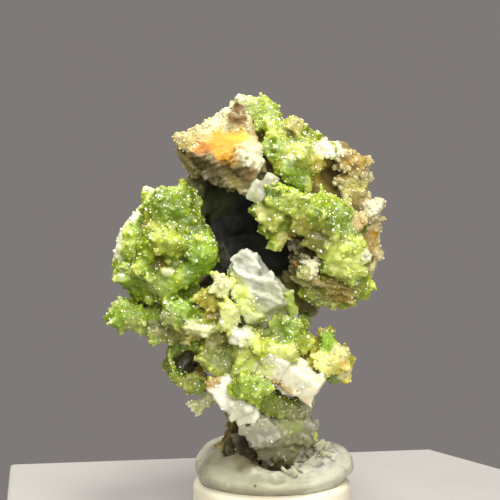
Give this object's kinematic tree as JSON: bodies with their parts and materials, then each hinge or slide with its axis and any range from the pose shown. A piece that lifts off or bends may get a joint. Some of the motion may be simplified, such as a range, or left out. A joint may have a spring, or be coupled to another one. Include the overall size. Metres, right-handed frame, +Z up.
{
  "type": "pyromorphite specimen",
  "caption": "Branching mineral specimen: yellow-green crystal druse and milky quartz on iron-stained matrix, set in a blob of putty on a small round base.",
  "frame": {"origin": "centre of the round base's underside", "axes": "+Z up along the base's axis towards the specimen's top, -Y towards the viewer of the show side, +X to that viewer's right"},
  "size_m": [0.0418, 0.0277, 0.0647],
  "materials": {
    "cream_plastic": "glossy cream",
    "putty": "soft translucent off-white",
    "iron_stained_rock": "rough, cream to ochre with orange stains",
    "pyromorphite": "translucent yellow-green, greasy lustre",
    "milky_quartz": "milky white, translucent"
  },
  "bodies": {
    "root": {"display_base": "cream_plastic", "mounting_putty": "putty", "matrix_rock": "iron_stained_rock", "pyromorphite_left_lobe": "pyromorphite", "pyromorphite_low_left_lobe": "pyromorphite", "pyromorphite_crown": "pyromorphite", "pyromorphite_right_lobe": "pyromorphite", "pyromorphite_waist": "pyromorphite", "pyromorphite_right_arm": "pyromorphite", "pyromorphite_stalk_crust": "pyromorphite", "pyromorphite_back_crust": "pyromorphite", "pyromorphite_back_waist": "pyromorphite", "pyromorphite_nub": "pyromorphite", "quartz_centre": "milky_quartz", "quartz_waist_left": "milky_quartz", "quartz_waist_right": "milky_quartz", "quartz_foot": "milky_quartz", "quartz_ledge": "milky_quartz"}
  },
  "joints": []
}
